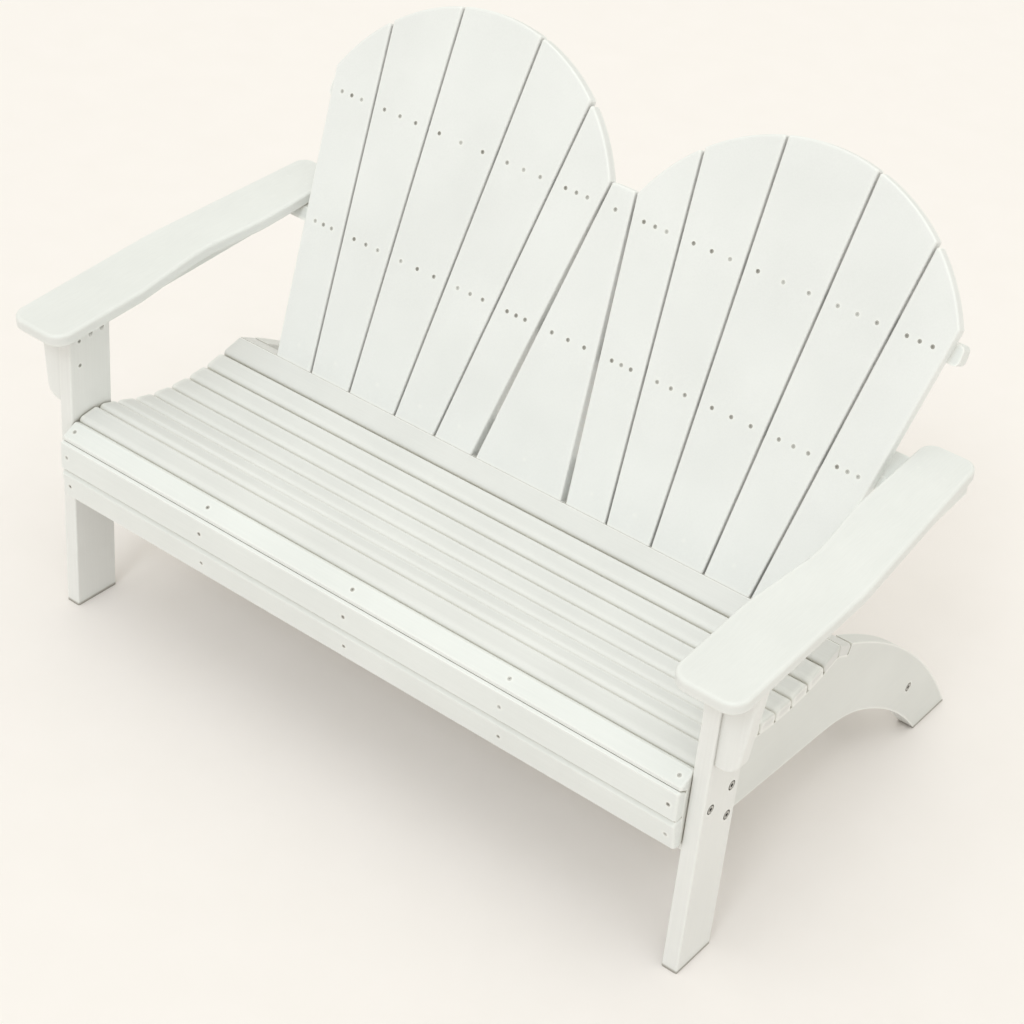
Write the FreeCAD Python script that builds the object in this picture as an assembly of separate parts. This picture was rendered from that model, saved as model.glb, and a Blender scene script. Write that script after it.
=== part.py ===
import FreeCAD, Part
import math
import os

V = FreeCAD.Vector
os.makedirs("parts", exist_ok=True)

# Stock thicknesses (mm)
board = 20.0
rail_thick = 30.0
leg_thick = 28.0
cross_thick = 28.0
arm_thick = 22.0
edge_round = 3.0
end_round = 3.5
flat_share = 0.99

# Seat: half length, gaps between boards, slat pitch and the slope of each board (degrees, plus rises
# to the rear)
seat_half = 629.0
seat_gap = 1.2
front_gap = 1.0
slat_pitch = 43.0
slat_slopes_deg = [9.0, -15.0, -18.0, -13.0, -5.0, 0.0, 5.5, 12.0, 16.0]
slat_round = 9.0
first_slat_extra = 6.0
last_slat_extra = 3.0
nose_width = 45.0
nose_slope_deg = 30.0
middle_width = 62.0
middle_slope_deg = 90.0
lower_width = 60.0
lower_slope_deg = 100.0
front_bevel = 6.0

# Back: where its front face meets the seat, measured from the leg front and the floor, and its lean
back_reach = 398.0
back_base_height = 383.0
back_lean_deg = 25.0

# Fans: distance from the seat end, slot beside the wedge, edges as shares of the half width at the foot,
# spread across per millimetre up, and the arc at the top
fan_margin = 88.0
wedge_slot = 11.0
second_share = 0.634
first_share = 0.233
outer_spread = 0.144
second_spread = 0.1152
first_spread = 0.0454
arc_height = 362.0
arc_share = 1.486
back_gap = 4.0
back_round = 3.5
back_corner = 4.0
wedge_foot = 178.0
wedge_tip = 45.0
wedge_above = 39.0

# Cross rails behind the back
upper_rail_at = 470.0
upper_rail_tall = 33.0
upper_rail_stub = 17.0
upper_rail_round = 9.0
lower_rail_tall = 70.0
middle_rail_deep = 72.0
middle_rail_tall = 20.0
middle_rail_stub = 31.0

# Front legs and arms: arm edges are measured from the two faces of the leg, arm places from the arm front
leg_width = 89.0
leg_height = 562.0
arm_slope_deg = 5.0
arm_overhang = 53.0
arm_length = 678.0
arm_inset_front = 34.0
arm_inset_waist = 17.0
arm_inset_rear = 31.0
arm_out_front = 55.0
arm_out_middle = 59.0
arm_out_rear = 33.0
arm_waist_start = 186.0
arm_waist_at = 346.0
arm_waist_end = 476.0
arm_bend_at = 316.0
arm_front_corner = 30.0
arm_rear_corner = 25.0
arm_waist_round = 300.0
arm_edge_round = 5.0
support_thick = 24.0
support_tall = 24.0

# Arm brackets outside the legs
bracket_tall = 155.0
bracket_top = 52.0
bracket_foot = 36.0
bracket_corner = 27.0
bracket_deep = 28.0
bracket_setback = 7.0
bracket_round = 5.0
bracket_screw_high = 30.0
bracket_screw_low = 76.0

# Side rails: lower edge, arch and foot, measured from the leg front and the floor
rail_tongue = 14.0
rail_under = 210.0
arch_start = 455.0
arch_rise = 23.0
arch_ease = 60.0
swoop_rise = 38.0
foot_front = 750.0
foot_rear = 852.0

# Seat ribs, and the stretcher at a share of the way down the rear legs
rib_at = 308.0
stretcher_share = 0.63
stretcher_tall = 80.0

# Wood-type screws
screw_head = 7.0
screw_head_tall = 2.4
screw_shank = 4.5
screw_sink = 0.4
screw_socket = 3.0
screw_socket_deep = 1.4
screw_bite = 15.0
screw_inset = 24.0
wedge_screw_step = 33.0

# Leg bolts
bolt_head = 13.0
bolt_head_tall = 5.0
bolt_shank = 8.0
bolt_ring = 17.0
bolt_socket = 6.0
bolt_socket_deep = 3.0
bolt_inset = 19.0
bolt_high = 332.0
bolt_front = 319.0
bolt_low = 275.0
washer_wide = 18.0
washer_thick = 1.6
nut_flats = 13.0
nut_tall = 6.5
foot_bolt_bite = 40.0

# Pocket screws from the legs into the arms
pocket_angle_deg = 40.0
pocket_drop = 28.0
pocket_wide = 9.5
pocket_deep = 14.0
pocket_front = 46.0
pocket_rear = 71.0

# Running clearance round every fastener
fit = 0.1
spare = 0.5


def heading(degrees):
    """Unit direction in the side plane, pointing to the rear and rising by the given angle."""
    angle = math.radians(degrees)
    return V(0, math.cos(angle), math.sin(angle))


def outline(points, radii):
    """Closed face through the points, with each corner rounded by its radius."""
    starts, ends, arcs = [], [], []
    count = len(points)
    for i, corner in enumerate(points):
        back = (points[i - 1] - corner).normalize()
        ahead = (points[(i + 1) % count] - corner).normalize()
        if radii[i] == 0:
            starts.append(corner)
            ends.append(corner)
            arcs.append(None)
            continue
        half = back.getAngle(ahead) / 2
        reach = radii[i] / math.tan(half)
        middle = (back + ahead).normalize()
        top = corner + middle * (radii[i] / math.sin(half) - radii[i])
        starts.append(corner + back * reach)
        ends.append(corner + ahead * reach)
        arcs.append(top)
    edges = []
    for i in range(count):
        if arcs[i] is not None:
            edges.append(Part.Arc(starts[i], arcs[i], ends[i]).toShape())
        edges.append(Part.makeLine(ends[i], starts[(i + 1) % count]))
    return Part.Face(Part.Wire(edges))


def bevelled(points, corners, size):
    """The same polygon with the listed corners cut off."""
    result = []
    count = len(points)
    for i, corner in enumerate(points):
        if i not in corners:
            result.append(corner)
            continue
        result.append(corner + (points[i - 1] - corner).normalize() * size)
        result.append(corner + (points[(i + 1) % count] - corner).normalize() * size)
    return result


def along_x(face, start, end):
    """Solid swept from one X position to another."""
    return face.translated(V(start, 0, 0)).extrude(V(end - start, 0, 0))


def share_of(edge, share):
    """Point at a share of the way along an edge."""
    return edge.valueAt(edge.FirstParameter + (edge.LastParameter - edge.FirstParameter) * share)


def middle_of(edge):
    return share_of(edge, 0.5)


def crossing(a, a_way, b, b_way):
    """Point where two lines of the side plane meet."""
    across = V(0, -b_way.z, b_way.y)
    return a + a_way * ((b - a).dot(across) / a_way.dot(across))


def placed(shape, point, axis):
    """Copy of a shape made along +Z at the origin, set at a point along an axis."""
    result = shape.copy()
    result.Placement = FreeCAD.Placement(point, FreeCAD.Rotation(V(0, 0, 1), axis))
    return result


def mirrored(shape):
    return shape.mirror(V(0, 0, 0), V(1, 0, 0))


def mirrored_point(point):
    return V(-point.x, point.y, point.z)


pieces = {}
groups = {}
holes = {}


def drill(tool, nodes):
    for node in nodes:
        holes.setdefault(node, []).append(tool)


def rod(radius, start, end):
    return Part.makeCylinder(radius, end - start, V(0, 0, start))


def hexagon(flats, start, end):
    corners = []
    for k in range(6):
        angle = math.radians(60 * k)
        corners.append(V(math.cos(angle), math.sin(angle), 0) * (flats / math.sqrt(3)) + V(0, 0, start))
    return Part.Face(Part.makePolygon(corners + corners[:1])).extrude(V(0, 0, end - start))


def add_screw(group, point, axis, length, nodes):
    """Socket-head screw sunk just below a face, with its clearance hole in every board it passes."""
    seat = screw_sink + screw_head_tall
    body = rod(screw_head / 2, screw_sink, seat).fuse(rod(screw_shank / 2, seat, length))
    body = body.removeSplitter().cut(hexagon(screw_socket, screw_sink, screw_sink + screw_socket_deep))
    hole = rod(screw_head / 2 + fit, -spare, seat).fuse(rod(screw_shank / 2 + fit, seat, length + spare))
    groups.setdefault(group, []).append(placed(body, point, axis))
    drill(placed(hole, point, axis), nodes)


# Fan and wedge sizes that follow from the seat
outer_edge = (seat_half - fan_margin - wedge_foot / 2 - wedge_slot) / 2
fan_centre = seat_half - fan_margin - outer_edge
second_edge = outer_edge * second_share
first_edge = outer_edge * first_share
arc_radius = outer_edge * arc_share
wedge_height = upper_rail_at + wedge_above

# Reference lines of the side view: leg front at the origin of Y until the end
lean = math.radians(back_lean_deg)
up_back = V(0, math.sin(lean), math.cos(lean))
through_back = V(0, math.cos(lean), -math.sin(lean))
base = V(0, back_reach, back_base_height)
arm_way = heading(arm_slope_deg)
arm_up = V(0, -arm_way.z, arm_way.y)
arm_foot = V(0, 0, leg_height)

# Seat line from the back forward, then put in order from front to rear
lengths = [slat_pitch] * len(slat_slopes_deg)
lengths[0] += first_slat_extra
lengths[-1] += last_slat_extra
slopes = [lower_slope_deg, middle_slope_deg, nose_slope_deg] + slat_slopes_deg
lengths = [lower_width, middle_width, nose_width] + lengths
seams = [base]
for slope, length in zip(reversed(slopes), reversed(lengths)):
    seams.insert(0, seams[0] - heading(slope) * length)
seams.append(base + through_back * slat_pitch)
ways = [heading(slope) for slope in slopes] + [through_back]
normals = [V(0, -way.z, way.y) for way in ways]
seat_names = ["front_board_lower", "front_board_middle", "front_board_nose"]
seat_names += ["seat_slat_%02d" % (k + 1) for k in range(len(slat_slopes_deg) + 1)]

# Line of the rail tops: the seat line moved in by one board
rests = [seams[0] - normals[0] * board]
for k in range(1, len(ways)):
    both = normals[k - 1] + normals[k]
    rests.append(seams[k] - both * (board / (1 + normals[k - 1].dot(normals[k]))))
rests.append(seams[-1] - normals[-1] * board)

# Seat slats and front boards: edges follow the joint where the seat bulges and are square where it
# hollows; top edges are rounded except at the foot of the back
front_boards = 3
for k, name in enumerate(seat_names):
    way = ways[k]
    drop = normals[k] * board
    turn_a = ways[k - 1].getAngle(way) if k else 0
    turn_b = way.getAngle(ways[k + 1]) if k + 1 < len(ways) else 0
    gap_a = front_gap if k <= front_boards else seat_gap
    gap_b = front_gap if k < front_boards else seat_gap
    front = seams[k] + way * (gap_a / 2 / math.cos(turn_a / 2)) if k else seams[k]
    rear = seams[k + 1] - way * (gap_b / 2 / math.cos(turn_b / 2))
    front_low = front - drop + way * max(0, (rests[k] - seams[k]).dot(way))
    rear_low = rear - drop + way * min(0, (rests[k + 1] - seams[k + 1]).dot(way))
    corners = [front, rear, rear_low, front_low]
    if k < front_boards:
        corners = bevelled(corners, [0, 1], front_bevel)
        section = outline(corners, [0] * len(corners))
    else:
        rounds = [0 if (seams[j] - base).Length < spare else slat_round for j in (k, k + 1)]
        section = outline(corners, rounds + [0, 0])
    bar = along_x(section, -seat_half, seat_half)
    rims = [e for f in bar.Faces if abs(f.normalAt(0, 0).x) > flat_share for e in f.Edges]
    rims = [e for e in rims if (middle_of(e) - seams[k]).dot(normals[k]) > spare - board]
    pieces[name] = bar.makeFillet(end_round, rims)

# Side rail: seat line on top, swoop to the rear foot, flat foot, arch and lower edge
tongue = rests[0] - ways[0] * rail_tongue
swoop_top = seams[-1]
heel = V(0, foot_rear, 0)
toe = V(0, foot_front, 0)
arch_top = V(0, arch_start, rail_under)


def bow(a, b, rise):
    """Arc between two points, bulging up and to the rear."""
    way = (b - a).normalize()
    return Part.Arc(a, (a + b) * 0.5 + V(0, -way.z, way.y) * rise, b).toShape()


rail_edges = [Part.makeLine(tongue, rests[0])]
rail_edges += [Part.makeLine(rests[k], rests[k + 1]) for k in range(len(ways))]
rail_edges.append(Part.makeLine(rests[-1], swoop_top))
swoop = bow(swoop_top, heel, swoop_rise)
full_arch = bow(arch_top, toe, arch_rise)
ease_share = arch_ease / full_arch.Length
ease_from = arch_top + (tongue - arch_top).normalize() * arch_ease
ease_to = share_of(full_arch, ease_share)
arch = Part.Arc(ease_to, share_of(full_arch, (ease_share + 1) / 2), toe).toShape()
bend = Part.BezierCurve()
bend.setPoles([ease_from, arch_top, ease_to])
rail_edges.append(swoop)
rail_edges.append(Part.makeLine(heel, toe))
rail_edges.append(arch)
rail_edges.append(bend.toShape())
rail_edges.append(Part.makeLine(ease_from, tongue))
rail_face = Part.Face(Part.Wire(Part.__sortEdges__(rail_edges)))
rail_inner = seat_half - rail_thick
pieces["right_side_rail"] = along_x(rail_face, rail_inner, seat_half)
pieces["left_side_rail"] = mirrored(pieces["right_side_rail"])

# Seat ribs: the same top line, ending under the last slat
rib_corners = rests + [V(0, rests[-1].y, rail_under)]
rib_face = outline(rib_corners, [0] * len(rib_corners))
for name, x in (("left", -rib_at), ("centre", 0), ("right", rib_at)):
    pieces["seat_rib_" + name] = along_x(rib_face, x - rail_thick / 2, x + rail_thick / 2)

# Front legs, cut to the slope of the arms
leg_outer = seat_half + leg_thick
leg_back = crossing(arm_foot, arm_way, V(0, leg_width, 0), V(0, 0, 1))
leg_face = outline([V(), V(0, leg_width, 0), leg_back, arm_foot], [0] * 4)
leg = along_x(leg_face, seat_half, leg_outer)
upright = [e for e in leg.Edges if e.BoundBox.ZLength > leg_width]
pieces["right_front_leg"] = leg.makeFillet(edge_round, upright)
pieces["left_front_leg"] = mirrored(pieces["right_front_leg"])

# Back slats, laid out flat and then leaned: X across, Y up the slat, Z out of the front face
lay = FreeCAD.Placement(base, FreeCAD.Rotation(V(1, 0, 0), up_back, through_back * -1, "ZXY"))


def leaned(shape):
    result = shape.copy()
    result.Placement = lay.multiply(result.Placement)
    return result


def on_back(x, height, depth=0.0):
    """Point of the back by its distance across, up the slats and behind their front face."""
    return base + V(x, 0, 0) + up_back * height + through_back * depth


def slat_solid(left_foot, left_spread, right_foot, right_spread, top):
    """Tapered board from the seat up to a height; spreads are millimetres across per millimetre up."""
    corners = [V(left_foot, 0, -board), V(right_foot, 0, -board)]
    corners.append(V(right_foot + right_spread * top, top, -board))
    corners.append(V(left_foot + left_spread * top, top, -board))
    return outline(corners, [0] * 4).extrude(V(0, 0, board))


def soft_front(shape):
    """Round the two top corners, then the long and top edges of the front face."""
    upright = [e for e in shape.Edges if max(e.BoundBox.XLength, e.BoundBox.YLength) < spare]
    shape = shape.makeFillet(back_corner, [e for e in upright if e.BoundBox.YMin > spare])
    rim = [e for e in shape.Edges if e.BoundBox.ZMin > -fit and e.BoundBox.YMax > spare]
    return shape.makeFillet(back_round, rim)


dome_edges = [Part.makeLine(V(-arc_radius, -board, -board), V(arc_radius, -board, -board))]
dome_edges.append(Part.makeLine(V(arc_radius, -board, -board), V(arc_radius, arc_height, -board)))
crown = V(0, arc_height + arc_radius, -board)
springing = V(arc_radius, arc_height, -board)
dome_edges.append(Part.Arc(springing, crown, mirrored_point(springing)).toShape())
dome_edges.append(Part.makeLine(V(-arc_radius, arc_height, -board), V(-arc_radius, -board, -board)))
dome = Part.Face(Part.Wire(dome_edges)).extrude(V(0, 0, board))

half_gap = back_gap / 2
edges_at = [(-outer_edge, -outer_spread), (-second_edge, -second_spread), (-first_edge, -first_spread)]
edges_at += [(-foot, -spread) for foot, spread in reversed(edges_at)]
fan_slats = []
for k in range(5):
    left_inset = 0 if k == 0 else half_gap
    right_inset = 0 if k == 4 else half_gap
    left = (edges_at[k][0] + left_inset, edges_at[k][1])
    right = (edges_at[k + 1][0] - right_inset, edges_at[k + 1][1])
    fan_slats.append((left, right))
for side, centre in (("left", -fan_centre), ("right", fan_centre)):
    for k, (left, right) in enumerate(fan_slats):
        slat = slat_solid(left[0], left[1], right[0], right[1], arc_height + arc_radius + board).common(dome)
        slat = soft_front(slat).translated(V(centre, 0, 0))
        pieces["back_slat_%s_%d" % (side, k + 1)] = leaned(slat)
wedge_spread = (wedge_foot - wedge_tip) / 2 / wedge_height
wedge = slat_solid(-wedge_foot / 2, wedge_spread, wedge_foot / 2, -wedge_spread, wedge_height)
pieces["back_centre_wedge"] = leaned(soft_front(wedge))

# Upper and lower rails lie against the rear of the slats
upper_low = upper_rail_at - upper_rail_tall / 2
upper_rail_half = fan_centre + outer_edge + outer_spread * upper_rail_at + upper_rail_stub
upper = Part.makeBox(upper_rail_half * 2, upper_rail_tall, cross_thick, V(-upper_rail_half, upper_low, 0))
upright = [e for e in upper.Edges if max(e.BoundBox.XLength, e.BoundBox.YLength) < spare]
upper = upper.makeFillet(upper_rail_round, upright)
upper = upper.makeFillet(edge_round, [e for e in upper.Edges if e.BoundBox.ZMax < spare])
pieces["upper_back_rail"] = leaned(upper.translated(V(0, 0, -board - cross_thick)))
lower_half = fan_centre + outer_edge
lower = Part.makeBox(lower_half * 2, lower_rail_tall, cross_thick, V(-lower_half, 0, -board - cross_thick))
pieces["lower_back_rail"] = leaned(lower)

# Middle rail: level with the arm undersides, its front edge bevelled to the rear of the slats
rear_face = base + through_back * board
rail_a = crossing(arm_foot, arm_way, rear_face, up_back)
rail_b = rail_a + arm_way * middle_rail_deep
rail_c = rail_b - arm_up * middle_rail_tall
rail_d = crossing(rail_c, arm_way, rear_face, up_back)
middle_face = outline([rail_a, rail_b, rail_c, rail_d], [0] * 4)
middle_rail_half = leg_outer + middle_rail_stub
middle = along_x(middle_face, -middle_rail_half, middle_rail_half)
long_edges = [e for e in middle.Edges if e.Length > leg_outer]
rear_edges = [e for e in long_edges if (middle_of(e) - rail_a).dot(arm_way) > middle_rail_deep / 2]
pieces["middle_back_rail"] = middle.makeFillet(edge_round, rear_edges)

# Arms: plan drawn on the sloping underside plane
def on_arm(x, reach):
    return arm_foot + V(x, 0, 0) + arm_way * (reach - arm_overhang)


inner_rear = seat_half - arm_inset_rear
outer_rear = leg_outer + arm_out_rear
arm_points = [on_arm(seat_half - arm_inset_front, 0), on_arm(leg_outer + arm_out_front, 0)]
arm_points += [on_arm(leg_outer + arm_out_middle, arm_bend_at), on_arm(outer_rear, arm_length)]
arm_points += [on_arm(inner_rear, arm_length), on_arm(inner_rear, arm_waist_end)]
arm_points += [on_arm(seat_half - arm_inset_waist, arm_waist_at)]
arm_points += [on_arm(seat_half - arm_inset_front, arm_waist_start)]
arm_radii = [arm_front_corner, arm_front_corner, arm_waist_round, arm_rear_corner, arm_rear_corner]
arm_radii += [arm_waist_round] * 3
arm = outline(arm_points, arm_radii).extrude(arm_up * arm_thick)
rims = [e for f in arm.Faces if abs(f.normalAt(0, 0).dot(arm_up)) > flat_share for e in f.Edges]
pieces["right_arm"] = arm.makeFillet(arm_edge_round, rims)
pieces["left_arm"] = mirrored(pieces["right_arm"])

# Arm supports: boards on edge from the leg to the middle rail
support_low = leg_back - arm_up * support_tall
support_a = crossing(support_low, arm_way, leg_back, V(0, 0, 1))
support_rail = crossing(arm_foot, arm_way, rear_face, up_back)
support_d = crossing(support_low, arm_way, rail_d, up_back)
support_face = outline([leg_back, support_a, support_d, support_rail], [0] * 4)
support = along_x(support_face, seat_half, seat_half + support_thick)
under = [e for e in support.Edges if e.Length > leg_width and (middle_of(e) - leg_back).dot(arm_up) < -spare]
pieces["right_arm_support"] = support.makeFillet(edge_round, under)
pieces["left_arm_support"] = mirrored(pieces["right_arm_support"])

# Arm brackets: outline of the front view, cut to the slope of the arm in the side view
bracket_low = leg_height - bracket_tall
bracket_high = leg_height + bracket_deep
bracket_front = V(0, bracket_setback, 0)
bracket_rear = V(0, bracket_setback + bracket_deep, 0)
bracket_points = [V(leg_outer, 0, bracket_low), V(leg_outer + bracket_foot, 0, bracket_low)]
bracket_points += [V(leg_outer + bracket_top, 0, leg_height), V(leg_outer + bracket_top, 0, bracket_high)]
bracket_points += [V(leg_outer, 0, bracket_high)]
bracket = outline(bracket_points, [0, bracket_corner, 0, 0, 0]).translated(bracket_front)
bracket = bracket.extrude(bracket_rear - bracket_front)
side_points = [bracket_front, bracket_rear, crossing(arm_foot, arm_way, bracket_rear, V(0, 0, 1))]
side_points += [crossing(arm_foot, arm_way, bracket_front, V(0, 0, 1))]
bracket_side = along_x(outline(side_points, [0] * 4), leg_outer, leg_outer + bracket_top)
bracket = bracket.common(bracket_side)
rims = [e for f in bracket.Faces if abs(f.normalAt(0, 0).y) > flat_share for e in f.Edges]
rims = [e for e in rims if middle_of(e).x > leg_outer + spare and middle_of(e).z < leg_height - spare]
pieces["right_arm_bracket"] = bracket.makeFillet(bracket_round, rims)
pieces["left_arm_bracket"] = mirrored(pieces["right_arm_bracket"])

# Rear stretcher between the rear legs, midway between their upper and lower edges
stretcher_centre = (share_of(swoop, stretcher_share) + share_of(full_arch, stretcher_share)) * 0.5
tall_way = (stretcher_centre - (heel + toe) * 0.5).normalize()
deep_way = V(0, -tall_way.z, tall_way.y)
half_tall = tall_way * (stretcher_tall / 2)
half_deep = deep_way * (cross_thick / 2)
stretcher_points = [stretcher_centre + half_tall + half_deep, stretcher_centre - half_tall + half_deep]
stretcher_points += [stretcher_centre - half_tall - half_deep, stretcher_centre + half_tall - half_deep]
pieces["rear_stretcher"] = along_x(outline(stretcher_points, [edge_round] * 4), -rail_inner, rail_inner)

# Screws through the front boards into rails and ribs
rail_middle = seat_half - rail_thick / 2
columns = [(-rail_middle, "left_side_rail"), (-rib_at, "seat_rib_left"), (0, "seat_rib_centre")]
columns += [(rib_at, "seat_rib_right"), (rail_middle, "right_side_rail")]
for k in range(front_boards):
    face_middle = (seams[k] + seams[k + 1]) * 0.5
    for x, behind in columns:
        point = face_middle + V(x, 0, 0)
        add_screw("front_board_screws", point, normals[k] * -1, board + screw_bite, [seat_names[k], behind])

# Screws through the back slats: three per slat in the upper and middle rows, one from behind at the foot
middle_row = ((rail_a + rail_d) * 0.5 - base).dot(up_back)
for side, centre in (("left", -fan_centre), ("right", fan_centre)):
    for k, (left, right) in enumerate(fan_slats):
        name = "back_slat_%s_%d" % (side, k + 1)
        for row, height in (("upper", upper_rail_at), ("middle", middle_row)):
            left_x = centre + left[0] + left[1] * height
            right_x = centre + right[0] + right[1] * height
            for x in (left_x + screw_inset, (left_x + right_x) / 2, right_x - screw_inset):
                nodes = [name, row + "_back_rail"]
                add_screw(row + "_back_screws", on_back(x, height), through_back, board + screw_bite, nodes)
        foot_x = centre + (left[0] + right[0]) / 2
        point = on_back(foot_x, lower_rail_tall / 2, board + cross_thick)
        nodes = [name, "lower_back_rail"]
        add_screw("lower_back_screws", point, through_back * -1, cross_thick + screw_bite, nodes)
wedge_nodes = ["back_centre_wedge", "upper_back_rail"]
add_screw("upper_back_screws", on_back(0, upper_rail_at), through_back, board + screw_bite, wedge_nodes)
wedge_nodes = ["back_centre_wedge", "middle_back_rail"]
for x in (-wedge_screw_step, 0, wedge_screw_step):
    add_screw("middle_back_screws", on_back(x, middle_row), through_back, board + screw_bite, wedge_nodes)
point = on_back(0, lower_rail_tall / 2, board + cross_thick)
wedge_nodes = ["back_centre_wedge", "lower_back_rail"]
add_screw("lower_back_screws", point, through_back * -1, cross_thick + screw_bite, wedge_nodes)

# Bolts through leg and rail with washer and nut, and the bolt into each end of the stretcher
rear_bolts = leg_width - bolt_inset
bolt_places = [(rear_bolts, bolt_high), (bolt_inset, bolt_front), (rear_bolts, bolt_low)]
grip_end = leg_thick + rail_thick
bolt_end = grip_end + washer_thick + nut_tall
bolt_head_solid = rod(bolt_head / 2, 0, bolt_head_tall).cut(hexagon(bolt_socket, 0, bolt_socket_deep))
bolt = bolt_head_solid.fuse(rod(bolt_shank / 2, bolt_head_tall, bolt_end)).removeSplitter()
bolt_hole = rod(bolt_ring / 2, -spare, bolt_head_tall)
bolt_hole = bolt_hole.fuse(rod(bolt_shank / 2 + fit, bolt_head_tall, grip_end + spare))
washer = rod(washer_wide / 2, grip_end, grip_end + washer_thick)
washer = washer.cut(rod(bolt_shank / 2 + fit, grip_end, grip_end + washer_thick))
nut = hexagon(nut_flats, grip_end + washer_thick, bolt_end)
nut = nut.cut(rod(bolt_shank / 2 + fit, grip_end + washer_thick, bolt_end))
foot_bolt_end = rail_thick + foot_bolt_bite
foot_bolt = bolt_head_solid.fuse(rod(bolt_shank / 2, bolt_head_tall, foot_bolt_end)).removeSplitter()
foot_hole = rod(bolt_ring / 2, -spare, bolt_head_tall)
foot_hole = foot_hole.fuse(rod(bolt_shank / 2 + fit, bolt_head_tall, foot_bolt_end + spare))
for side, way in (("left", -1), ("right", 1)):
    inward = V(-way, 0, 0)
    for y, z in bolt_places:
        point = V(way * leg_outer, y, z)
        groups.setdefault("leg_bolts", []).append(placed(bolt, point, inward))
        groups.setdefault("leg_bolt_washers", []).append(placed(washer, point, inward))
        groups.setdefault("leg_bolt_nuts", []).append(placed(nut, point, inward))
        drill(placed(bolt_hole, point, inward), [side + "_front_leg", side + "_side_rail"])
    point = stretcher_centre + V(way * seat_half, 0, 0)
    groups.setdefault("foot_bolts", []).append(placed(foot_bolt, point, inward))
    drill(placed(foot_hole, point, inward), [side + "_side_rail", "rear_stretcher"])

    # Screws from the leg into its bracket, and pocket screws from the leg up into the arm
    for below in (bracket_screw_high, bracket_screw_low):
        point = V(way * seat_half, bracket_setback + bracket_deep / 2, leg_height - below)
        nodes = [side + "_front_leg", side + "_arm_bracket"]
        add_screw("bracket_screws", point, inward * -1, leg_thick + screw_bite, nodes)
    tilt = math.radians(pocket_angle_deg)
    axis = V(way * math.sin(tilt), 0, math.cos(tilt))
    for y in (pocket_front, pocket_rear):
        top = crossing(arm_foot, arm_way, V(0, y, 0), V(0, 0, 1))
        mouth = V(way * seat_half, y, top.z - pocket_drop)
        seat = mouth + axis * pocket_deep
        drill(placed(rod(pocket_wide / 2, -pocket_deep * 2, 0), seat, axis), [side + "_front_leg"])
        reach = (pocket_drop / math.cos(tilt)) - pocket_deep + screw_bite
        head_from = seat - axis * (screw_sink + screw_head_tall)
        nodes = [side + "_front_leg", side + "_arm"]
        add_screw("arm_leg_screws", head_from, axis, reach + screw_sink + screw_head_tall, nodes)

    # Screws from under the middle rail up into the arm
    for x in (inner_rear + screw_inset, outer_rear - screw_inset):
        point = (rail_c + rail_d) * 0.5 + V(way * x, 0, 0)
        nodes = ["middle_back_rail", side + "_arm"]
        add_screw("arm_rail_screws", point, arm_up, middle_rail_tall + screw_bite, nodes)

# Cut the holes, move the origin to the middle of the footprint and write one file per piece
for name, tools in holes.items():
    pieces[name] = pieces[name].cut(tools)
for name, solids in groups.items():
    pieces[name] = Part.makeCompound(solids)
whole = Part.makeCompound(list(pieces.values())).optimalBoundingBox(False, False)
shift = V(0, -(whole.YMin + whole.YMax) / 2, -whole.ZMin)
for name, shape in pieces.items():
    shape.translated(shift).exportStep("parts/%s.step" % name)
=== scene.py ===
# %% [markdown]
# # A white double beach chair, one board at a time
#
# The real chair is a two-seat garden lounge made from white plastic boards, screwed and bolted together.
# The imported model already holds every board, bolt and screw in its true place and with its true edges, so
# this script gives them their surfaces, lays the pale floor, sets the soft light, and puts the camera
# where the photographer stood.

import math

import bpy
import numpy as np
from mathutils import Matrix

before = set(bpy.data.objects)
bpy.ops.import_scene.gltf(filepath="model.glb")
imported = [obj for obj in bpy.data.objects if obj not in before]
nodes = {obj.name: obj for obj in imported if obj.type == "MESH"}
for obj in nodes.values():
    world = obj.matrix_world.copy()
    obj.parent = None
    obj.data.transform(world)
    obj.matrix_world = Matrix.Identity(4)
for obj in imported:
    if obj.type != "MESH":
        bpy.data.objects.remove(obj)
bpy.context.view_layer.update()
print("boards and fasteners:", len(nodes))

# %% [markdown]
# ## Colours
#
# A colour picked from a paint card is written as an sRGB hex value, but the renderer adds light in
# linear numbers. One function turns the first into the second, channel by channel.

# %% Hex to linear colour


def linear(code):
    """Each channel c of the hex code becomes c/12.92 when dark, or ((c + 0.055)/1.055)^2.4 otherwise."""
    channel = np.array([int(code[i:i + 2], 16) for i in (1, 3, 5)]) / 255.0
    value = np.where(channel <= 0.04045, channel / 12.92, ((channel + 0.055) / 1.055) ** 2.4)
    return (*value.tolist(), 1.0)


print("chair white in linear light:", [round(c, 3) for c in linear("#EDEEE9")])

# %% [markdown]
# ## Adding shader nodes
#
# Every finish below is a small tree of nodes. One helper adds a node, sets its fields and sockets, and
# links its inputs, so that each finish reads as a list of what it is made of. Sizes are written in mm, and
# two short functions turn them into what Blender wants.

# %% A node with its settings and links


def add(tree, kind, fields=None, **sockets):
    """New node of this kind. Fields are the node's own settings. Each socket, named with _ for a space,
    is linked when its value is another node's output, and set to the value otherwise."""
    node = tree.nodes.new("ShaderNode" + kind)
    for name, value in (fields or {}).items():
        setattr(node, name, value)
    ready = {socket.name: socket for socket in node.inputs if socket.enabled}
    for name, value in sockets.items():
        socket = ready[name.replace("_", " ")]
        if isinstance(value, bpy.types.NodeSocket):
            tree.links.new(value, socket)
        else:
            socket.default_value = value
    return node


def metres(mm):
    """Length in metres of a length in mm."""
    return mm / 1000.0


def per_metre(mm):
    """Scale of a pattern: how many of its features of this size fit in one metre."""
    return 1000.0 / mm


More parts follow.
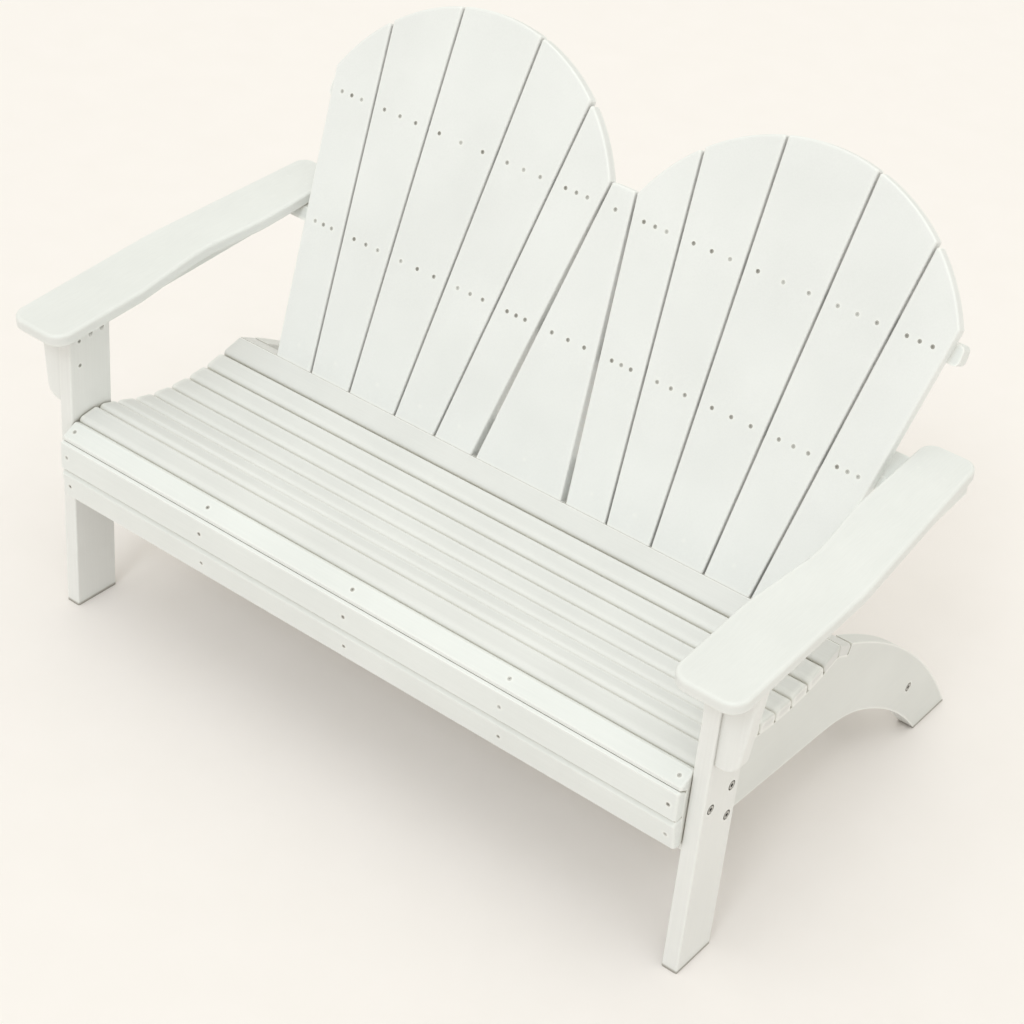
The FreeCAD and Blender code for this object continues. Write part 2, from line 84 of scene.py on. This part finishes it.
def ramp(tree, value, ends):
    """Value from 0 to 1 stretched to run between these two ends."""
    return add(tree, "MapRange", Value=value, To_Min=ends[0], To_Max=ends[1]).outputs["Result"]


def falling(tree, value, limits):
    """Share that is 1 up to the lower limit of the value and falls evenly to 0 at the upper one."""
    low, high = limits
    share = add(tree, "MapRange", Value=value, From_Min=low, From_Max=high, To_Min=1.0, To_Max=0.0)
    return share.outputs["Result"]


def layer(tree, share, below, above):
    """Colour below covered by the colour above, as far as the share says."""
    return add(tree, "Mix", {"data_type": "RGBA"}, Factor=share, A=below, B=above).outputs[2]


def new_material(name):
    """Empty node material that is ready for a shader."""
    material = bpy.data.materials.new(name)
    material.use_nodes = True
    material.node_tree.nodes.clear()
    return material, material.node_tree


# %% [markdown]
# ## White plastic lumber
#
# The boards are recycled polyethylene, extruded with a faint brushed grain along their length and then
# sawn and routed. The eye gets an almost even white with a soft sheen and very low streaks along the
# board. Over it lie painted light and shade: a painted highlight along the rounded edges, painted shade
# with some grime in the joints, and a painted contact shadow where the feet touch the ground. One flat
# colour would look like paint, so two close whites are mixed by slow clouds and by the streaks. The
# highlight and the joint shade depend on shape: a point near an edge has little plastic behind it, and a
# point in a joint has little open air before it. Both are asked of the renderer by short rays, so no edge
# has to be marked by hand. The grain has to run along each board, and the whites of each group are set
# lighter or darker as painted light and shade, so the finish is made once for each group of boards.

# %% Finish of the boards
GRAIN_MM = 2.4        # spacing of the brushed streaks; the real ones are near 0.8 mm and would not show
STRETCH = 60.0        # a streak is about this many times longer than wide
CLOUD_MM = 180.0      # size of the slow changes of shade in the plastic
STREAK_SHARE = 0.35   # how much of the shade comes from the streaks
JOINT_MM = 14.0       # how far from a neighbouring board the painted shade and grime still reach
FOOT_SHADE_MM = 7.0         # how high the painted contact shadow reaches up the feet
RELIEF_MM = 0.4       # depth of the brushed streaks, drawn deeper than they are
RELIEF_SHARE = 0.1    # how strongly that depth bends the light
RAYS = 4              # short rays for each question about shape
EDGE_AT = (0.55, 0.9)     # share of plastic behind a point: full painted highlight, no painted highlight
JOINT_AT = (0.15, 0.8)    # share of open air before a point: full painted shade and grime, none
SHADE_AT = (0.3, 0.7)     # noise values that get the darker and the lighter white
LUMBER_GLOSS = (0.3, 0.42)    # roughness between and on the streaks
LUMBER_IOR = 1.5      # refraction of polyethylene, which sets the strength of its sheen
EDGE_HIGHLIGHT = "#FDFEFC"    # painted highlight along the rounded edges
FOOT_SHADE = "#8A857A"      # grey-brown painted contact shadow at the bottom of the feet


def plastic_lumber(name, turn, whites, grime_and_shade, edge_mm):
    """Streaks are noise squeezed across the board: the coordinates are turned so that X runs along the
    board, then X is divided by the stretch. Shade mixes two whites by slow clouds and fine streaks. Over
    it lie a painted highlight along the edges, painted shade with some grime in the joints, and a painted
    contact shadow just above the floor."""
    material, tree = new_material(name)
    place = add(tree, "TexCoord").outputs["Object"]
    turned = add(tree, "Mapping", Vector=place, Rotation=turn).outputs["Vector"]
    squeezed = add(tree, "Mapping", Vector=turned, Scale=(1.0 / STRETCH, 1.0, 1.0)).outputs["Vector"]
    streak = add(tree, "TexNoise", Vector=squeezed, Scale=per_metre(GRAIN_MM), Detail=3.0, Roughness=0.6)
    cloud = add(tree, "TexNoise", Vector=place, Scale=per_metre(CLOUD_MM), Detail=3.0)
    shade = add(tree, "Mix", Factor=STREAK_SHARE, A=cloud.outputs["Fac"], B=streak.outputs["Fac"])
    tone = add(tree, "ValToRGB", Fac=shade.outputs["Result"])
    for stop, position, code in zip(tone.color_ramp.elements, SHADE_AT, whites):
        stop.position, stop.color = position, linear(code)
    # painted highlight: edges with little plastic behind them are whitened
    core = add(tree, "AmbientOcclusion", {"samples": RAYS, "inside": True, "only_local": True},
               Distance=metres(edge_mm)).outputs["AO"]
    # painted shade with some grime: joints with little open air before them are darkened
    air = add(tree, "AmbientOcclusion", {"samples": RAYS}, Distance=metres(JOINT_MM)).outputs["AO"]
    # painted contact shadow: the lowest few mm of the feet are darkened
    height = add(tree, "SeparateXYZ", Vector=place).outputs["Z"]
    colour = tone.outputs["Color"]
    # painted light over the board's own tone: highlight on edges, shade with grime in joints, contact shadow
    # at the feet
    layers = ((core, EDGE_AT, EDGE_HIGHLIGHT), (air, JOINT_AT, grime_and_shade), (height, (0.0, metres(FOOT_SHADE_MM)), FOOT_SHADE))
    for measure, limits, code in layers:
        share = falling(tree, measure, limits)
        colour = layer(tree, share, colour, linear(code))
    gloss = ramp(tree, streak.outputs["Fac"], LUMBER_GLOSS)
    relief = add(tree, "Bump", Strength=RELIEF_SHARE, Distance=metres(RELIEF_MM),
                 Height=streak.outputs["Fac"])
    skin = add(tree, "BsdfPrincipled", Base_Color=colour, Roughness=gloss, Normal=relief.outputs["Normal"],
               IOR=LUMBER_IOR)
    add(tree, "OutputMaterial", Surface=skin.outputs["BSDF"])
    return material


BACK_LEAN = math.radians(25.0)
ALONG_X = (0.0, 0.0, 0.0)
ALONG_Y = (0.0, 0.0, math.pi / 2)
UPRIGHT = (0.0, math.pi / 2, 0.0)
LEANING = (0.0, math.pi / 2, BACK_LEAN)
# the whites of each group are set lighter or darker as painted light and shade
BOARDS = {
    # group: what it is, direction of the grain, its two whites set lighter or darker as painted shade,
    # painted shade and grime in its joints, width of the painted edge highlight in mm
    "seat": ("seat slats", ALONG_X, ("#DFE0DF", "#E8E9E8"), "#D8D6CD", 12.0),
    "foot": ("slats at the foot of the back", ALONG_X, ("#DFE0DF", "#E8E9E8"), "#C8C5BB", 2.0),
    "front": ("long boards", ALONG_X, ("#E8EBEA", "#F1F4F3"), "#CFCDC4", 5.0),
    "back": ("back slats", LEANING, ("#EDEFEF", "#F6F8F8"), "#E3E3E2", 6.0),
    "leg": ("legs and brackets", UPRIGHT, ("#EBECEB", "#F4F5F4"), "#8F8B80", 4.0),
    "arm": ("arms", ALONG_Y, ("#E5E7E6", "#EEF0EF"), "#BDBAAF", 7.0),
    "rail": ("side rails and ribs", ALONG_Y, ("#E0E2E0", "#E9EBE9"), "#BDBAAF", 4.0),
}
lumber = {group: plastic_lumber("polyethylene lumber, " + what, *look)
          for group, (what, *look) in BOARDS.items()}
print("board finishes:", len(lumber))

# %% [markdown]
# ## Stainless fasteners
#
# Screws and bolts are satin stainless steel, turned on a lathe. They sit just below the boards, so the
# eye sees small grey discs. Each head gets a painted rim of shade in the hole round it, dark round the
# bolts and light round the screws. Fine noise breaks up the gloss as tool marks do. A screw drives up
# white plastic dust, so some screw heads are almost as pale as the board.

# %% Finish of the fasteners
MARK_MM = 0.6         # size of one tool mark
DUSTY_MM = 30.0       # screws this far apart differ in how dusty they are
RIM_AT = (0.3, 0.9)   # share of open air before a point: full painted shade on the rim, clean metal
DUST_AT = (0.4, 0.65)     # coarse noise values where dust starts and where it is thickest
STEEL_GLOSS = (0.3, 0.5)  # roughness between and on the tool marks
STEEL = ("#B4B3AF", "#CFCECA")    # darker and lighter tool marks
DUST = "#DCDDDA"      # white plastic dust on a grey head


def stainless(name, rim_mm, rim_code, dust):
    """Metal whose shade and roughness follow fine noise of one tool mark's size, with painted shade darkening
    it by its hole. Coarse noise picks the heads that are dusty: from none where it is low up to the given
    share where it is high."""
    material, tree = new_material(name)
    place = add(tree, "TexCoord").outputs["Object"]
    mark = add(tree, "TexNoise", Vector=place, Scale=per_metre(MARK_MM), Detail=2.0).outputs["Fac"]
    tone = add(tree, "ValToRGB", Fac=mark)
    for stop, code in zip(tone.color_ramp.elements, STEEL):
        stop.color = linear(code)
    # painted shade: the hole round each head, with little open air, darkens the rim
    air = add(tree, "AmbientOcclusion", {"samples": RAYS}, Distance=metres(rim_mm)).outputs["AO"]
    rim_shaded = layer(tree, falling(tree, air, RIM_AT), tone.outputs["Color"], linear(rim_code))
    patch = add(tree, "TexNoise", Vector=place, Scale=per_metre(DUSTY_MM), Detail=0.0).outputs["Fac"]
    start, full = DUST_AT
    dusty = add(tree, "MapRange", Value=patch, From_Min=start, From_Max=full, To_Max=dust).outputs["Result"]
    skin = add(tree, "BsdfPrincipled", Base_Color=layer(tree, dusty, rim_shaded, linear(DUST)),
               Metallic=ramp(tree, dusty, (1.0, 0.0)), Roughness=ramp(tree, mark, STEEL_GLOSS))
    add(tree, "OutputMaterial", Surface=skin.outputs["BSDF"])
    return material


steel = {
    # kind: its name, width of the painted shaded rim by its hole in mm, colour of that painted shade, dust on
    # the dustiest head
    "bolt": stainless("satin stainless steel, bolts", 5.0, "#3A362F", 0.0),
    "screw": stainless("satin stainless steel, screws", 1.5, "#A6A5A0", 0.8),
}
print("fastener finishes:", len(steel))

# %% [markdown]
# ## Which board gets which finish
#
# The name of a board says how it lies: slats and front boards run along the seat, back slats run up the
# back, legs and brackets stand, arms and side rails run from front to rear. Seat slats have the darkest
# whites, a painted shade for the seat lying under the back and arms, and back slats the lightest; the
# whites of each group are set lighter or darker as painted light and shade.

# %% Give each node its finish


def finish_for(name):
    """Finish of the node with this name; the first rule that fits wins."""
    if "screws" in name:
        return steel["screw"]
    if any(word in name for word in ("bolts", "nuts", "washers")):
        return steel["bolt"]
    if name.startswith("back_"):
        return lumber["back"]
    if "leg" in name or "bracket" in name:
        return lumber["leg"]
    if name.endswith("_arm"):
        return lumber["arm"]
    if name.startswith(("left_", "right_", "seat_rib")):
        return lumber["rail"]
    if name in ("seat_slat_09", "seat_slat_10"):
        return lumber["foot"]
    if name.startswith("seat_slat"):
        return lumber["seat"]
    return lumber["front"]


for name, node in nodes.items():
    node.data.materials.clear()
    node.data.materials.append(finish_for(name))
print("finished:", len(nodes), "pieces")

# %% [markdown]
# ## Floor
#
# The chair stands on a seamless pale sheet. It is one big flat surface, a grid in two parameters, whose
# warm off-white is the background of the picture.

# %% Floor sheet


def grid_mesh(name, surface, across, along):
    """Mesh of a surface P(u, v) sampled on a grid of u and v from 0 to 1; each cell is one quad."""
    u, v = np.meshgrid(np.linspace(0, 1, across), np.linspace(0, 1, along), indexing="ij")
    points = np.stack(surface(u, v), axis=-1).reshape(-1, 3)
    index = np.arange(across * along).reshape(across, along)
    quads = np.stack([index[:-1, :-1], index[1:, :-1], index[1:, 1:], index[:-1, 1:]], axis=-1)
    mesh = bpy.data.meshes.new(name)
    mesh.from_pydata(points.tolist(), [], quads.reshape(-1, 4).tolist())
    piece = bpy.data.objects.new(name, mesh)
    bpy.context.scene.collection.objects.link(piece)
    return piece


FLOOR_SIZE = 60.0     # metres
FLOOR_POINTS = 9      # along each side
MOTTLE_MM = 110.0     # size of the faint clouds in the paper
PAPER = ("#F7F2F0", "#FAF5F4")    # two close off-whites that the clouds mix
PAPER_ROUGHNESS = 0.9     # matt, without a mirror image of the chair


def flat_sheet(u, v):
    """P(u, v) = (u - 1/2, v - 1/2, 0) times the size of the floor."""
    return (u - 0.5) * FLOOR_SIZE, (v - 0.5) * FLOOR_SIZE, 0.0 * u


floor = grid_mesh("floor", flat_sheet, FLOOR_POINTS, FLOOR_POINTS)
paper, tree = new_material("matt backdrop paper")
place = add(tree, "TexCoord").outputs["Object"]
mottle = add(tree, "TexNoise", Vector=place, Scale=per_metre(MOTTLE_MM), Detail=4.0)
tone = add(tree, "ValToRGB", Fac=mottle.outputs["Fac"])
for stop, code in zip(tone.color_ramp.elements, PAPER):
    stop.color = linear(code)
sheet = add(tree, "BsdfPrincipled", Base_Color=tone.outputs["Color"], Roughness=PAPER_ROUGHNESS)
add(tree, "OutputMaterial", Surface=sheet.outputs["BSDF"])
floor.data.materials.append(paper)
print("floor:", FLOOR_SIZE, "m square")

# %% [markdown]
# ## Light
#
# A pale room, brighter overhead and a little warm, does most of the lighting and keeps the shadows light
# and warm. One very wide soft lamp, almost overhead, adds to tops and floor. A smaller lamp, in front and a
# little to the right, lights the back and the fronts and draws the bright lines along rounded edges, so
# faces that look right are a step darker. Lamps that are far away light the whole floor evenly.

# %% Lamps
LAMP_COLOUR = "#F3FAFF"   # a little cool, so that lit boards are a cleaner white than shaded ones


def far_lamp(name, height, side, spread, level):
    """Lamp at infinity, seen from the floor at these angles, in degrees, of height above it and of side to
    the right of the front. It is as wide as its spread, and its level is the light on a face turned to it."""
    up, turn = math.radians(height), math.radians(side)
    beam = np.array([math.cos(up) * math.sin(turn), -math.cos(up) * math.cos(turn), math.sin(up)])
    across = np.cross((0.0, 0.0, 1.0), beam)
    across = across / np.linalg.norm(across)
    lamp = bpy.data.lights.new(name, "SUN")
    lamp.angle, lamp.energy, lamp.color = math.radians(spread), level, linear(LAMP_COLOUR)[:3]
    holder = bpy.data.objects.new(name, lamp)
    holder.matrix_world = Matrix(np.stack([across, np.cross(beam, across), beam], axis=1).tolist()).to_4x4()
    bpy.context.scene.collection.objects.link(holder)
    print(name, "shines from", [round(c, 2) for c in beam.tolist()])


far_lamp("wide soft lamp", height=70.0, side=20.0, spread=60.0, level=0.56)
far_lamp("edge lamp", height=46.0, side=12.0, spread=14.0, level=0.37)

# %% Room
ROOM_COLOUR = "#FFFDF2"   # a little warm
WALL_LEVEL, CEILING_LEVEL = 0.47, 0.97    # brightness at the horizon and straight up
world = bpy.data.worlds.new("pale room")
world.use_nodes = True
room = world.node_tree
height = add(room, "SeparateXYZ", Vector=add(room, "TexCoord").outputs["Generated"]).outputs["Z"]
level = ramp(room, height, (WALL_LEVEL, CEILING_LEVEL))
room.links.new(level, room.nodes["Background"].inputs["Strength"])
room.nodes["Background"].inputs["Color"].default_value = linear(ROOM_COLOUR)
bpy.context.scene.world = world
print("room from", WALL_LEVEL, "at the walls to", CEILING_LEVEL, "overhead")

# %% [markdown]
# ## Camera
#
# The photographer stood to the right of the chair and well above it, with a short telephoto lens and the
# camera rolled a few degrees. Three angles give the camera's axes, and the lens follows from the focal
# length in pixels on a picture 1024 pixels wide.

# %% Camera at the photograph's angle
AZIMUTH, ELEVATION, ROLL = (math.radians(a) for a in (35.24, 35.08, 5.53))
STAND = (1.81758, -2.57924, 2.53133)
FOCAL_PIXELS, PICTURE_PIXELS, SENSOR_MM = 2319.13, 1024.0, 36.0
flat = math.cos(ELEVATION)
back = np.array([math.sin(AZIMUTH) * flat, -math.cos(AZIMUTH) * flat, math.sin(ELEVATION)])
sideways = np.array([math.cos(AZIMUTH), math.sin(AZIMUTH), 0.0])
upright = np.cross(back, sideways)
right = math.cos(ROLL) * sideways + math.sin(ROLL) * upright
top = -math.sin(ROLL) * sideways + math.cos(ROLL) * upright
camera = bpy.data.cameras.new("camera")
camera.sensor_width = SENSOR_MM
camera.lens = FOCAL_PIXELS / PICTURE_PIXELS * SENSOR_MM
stand = bpy.data.objects.new("camera", camera)
axes = Matrix(np.stack([right, top, back], axis=1).tolist()).to_4x4()
stand.matrix_world = Matrix.Translation(STAND) @ axes
bpy.context.scene.collection.objects.link(stand)
bpy.context.scene.camera = stand
bpy.context.scene.view_settings.view_transform = "Standard"
print("lens:", round(camera.lens, 2), "mm")
